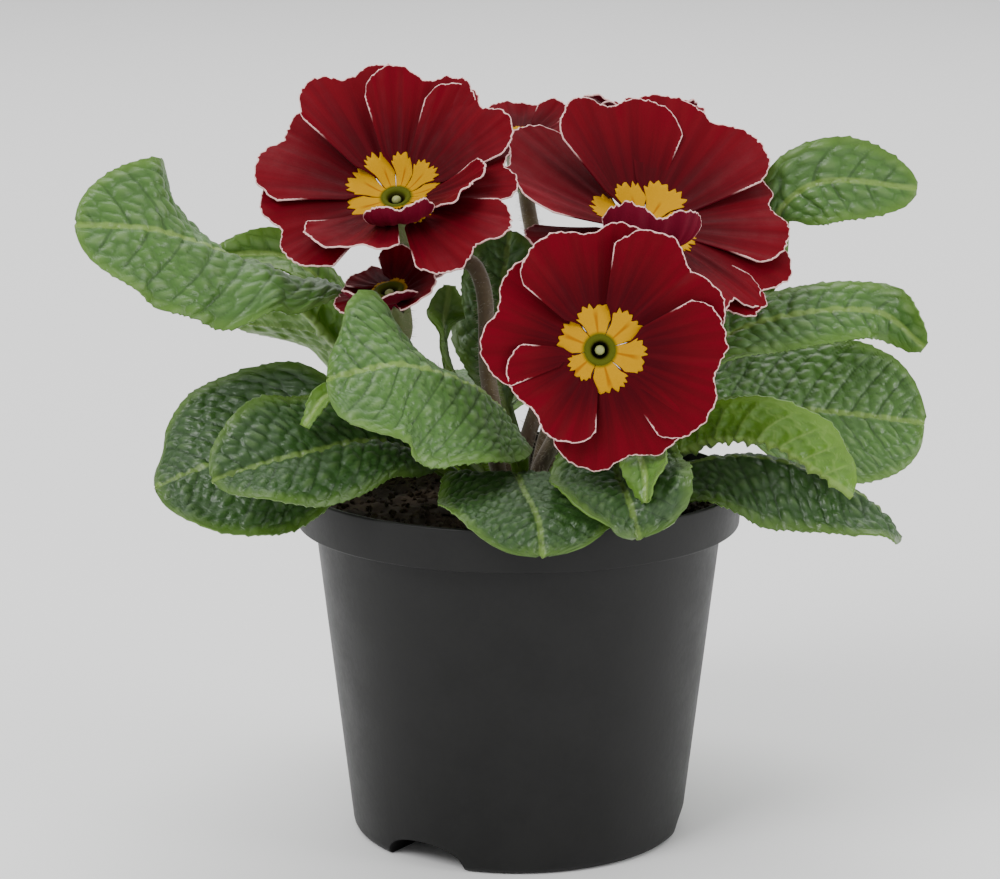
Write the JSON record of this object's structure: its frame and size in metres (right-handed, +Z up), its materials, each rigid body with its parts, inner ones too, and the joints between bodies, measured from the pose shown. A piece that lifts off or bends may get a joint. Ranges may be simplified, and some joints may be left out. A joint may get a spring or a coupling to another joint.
{
  "type": "potted primrose",
  "caption": "Potted primrose: a rosette of puckered green leaves under ruffled dark red blooms with pale edges and yellow eyes, standing in a tapered black nursery pot.",
  "frame": {"origin": "centre of the pot's flat base, on the surface it stands on", "axes": "+Z up along the pot's axis, -Y towards the front of the plant, +X to the right seen from the front"},
  "size_m": [0.1957, 0.1422, 0.1798],
  "materials": {
    "pot": "satin",
    "peat": "matte",
    "leaf": "satin",
    "stem": "matte",
    "petal": "satin",
    "eye": "satin",
    "pistil": "satin"
  },
  "bodies": {
    "root": {"pot": "pot", "soil": "peat", "leaf_left_high": "leaf", "leaf_left_back": "leaf", "leaf_center": "leaf", "leaf_low_left": "leaf", "leaf_low_left_inner": "leaf", "leaf_small": "leaf", "leaf_front": "leaf", "leaf_front_right": "leaf", "leaf_front_young": "leaf", "leaf_low_right": "leaf", "leaf_right_arched": "leaf", "leaf_right_broad": "leaf", "leaf_right_upper": "leaf", "leaf_right_top": "leaf", "leaf_middle": "leaf", "leaf_young": "leaf", "leaf_back_left": "leaf", "leaf_back_middle": "leaf", "leaf_back_right": "leaf", "leaf_back_far_right": "leaf", "bloom_left_petals": "petal", "bloom_left_eye": "eye", "bloom_left_pistil": "pistil", "bloom_left_stem": "stem", "bloom_right_petals": "petal", "bloom_right_eye": "eye", "bloom_right_pistil": "pistil", "bloom_right_stem": "stem", "bloom_front_petals": "petal", "bloom_front_eye": "eye", "bloom_front_pistil": "pistil", "bloom_front_stem": "stem", "bloom_small_petals": "petal", "bloom_small_eye": "eye", "bloom_small_pistil": "pistil", "bloom_small_stem": "stem", "bloom_back_petals": "petal", "bloom_back_eye": "eye", "bloom_back_pistil": "pistil", "bloom_back_stem": "stem", "bloom_far_petals": "petal", "bloom_far_eye": "eye", "bloom_far_pistil": "pistil", "bloom_far_stem": "stem"}
  },
  "joints": []
}
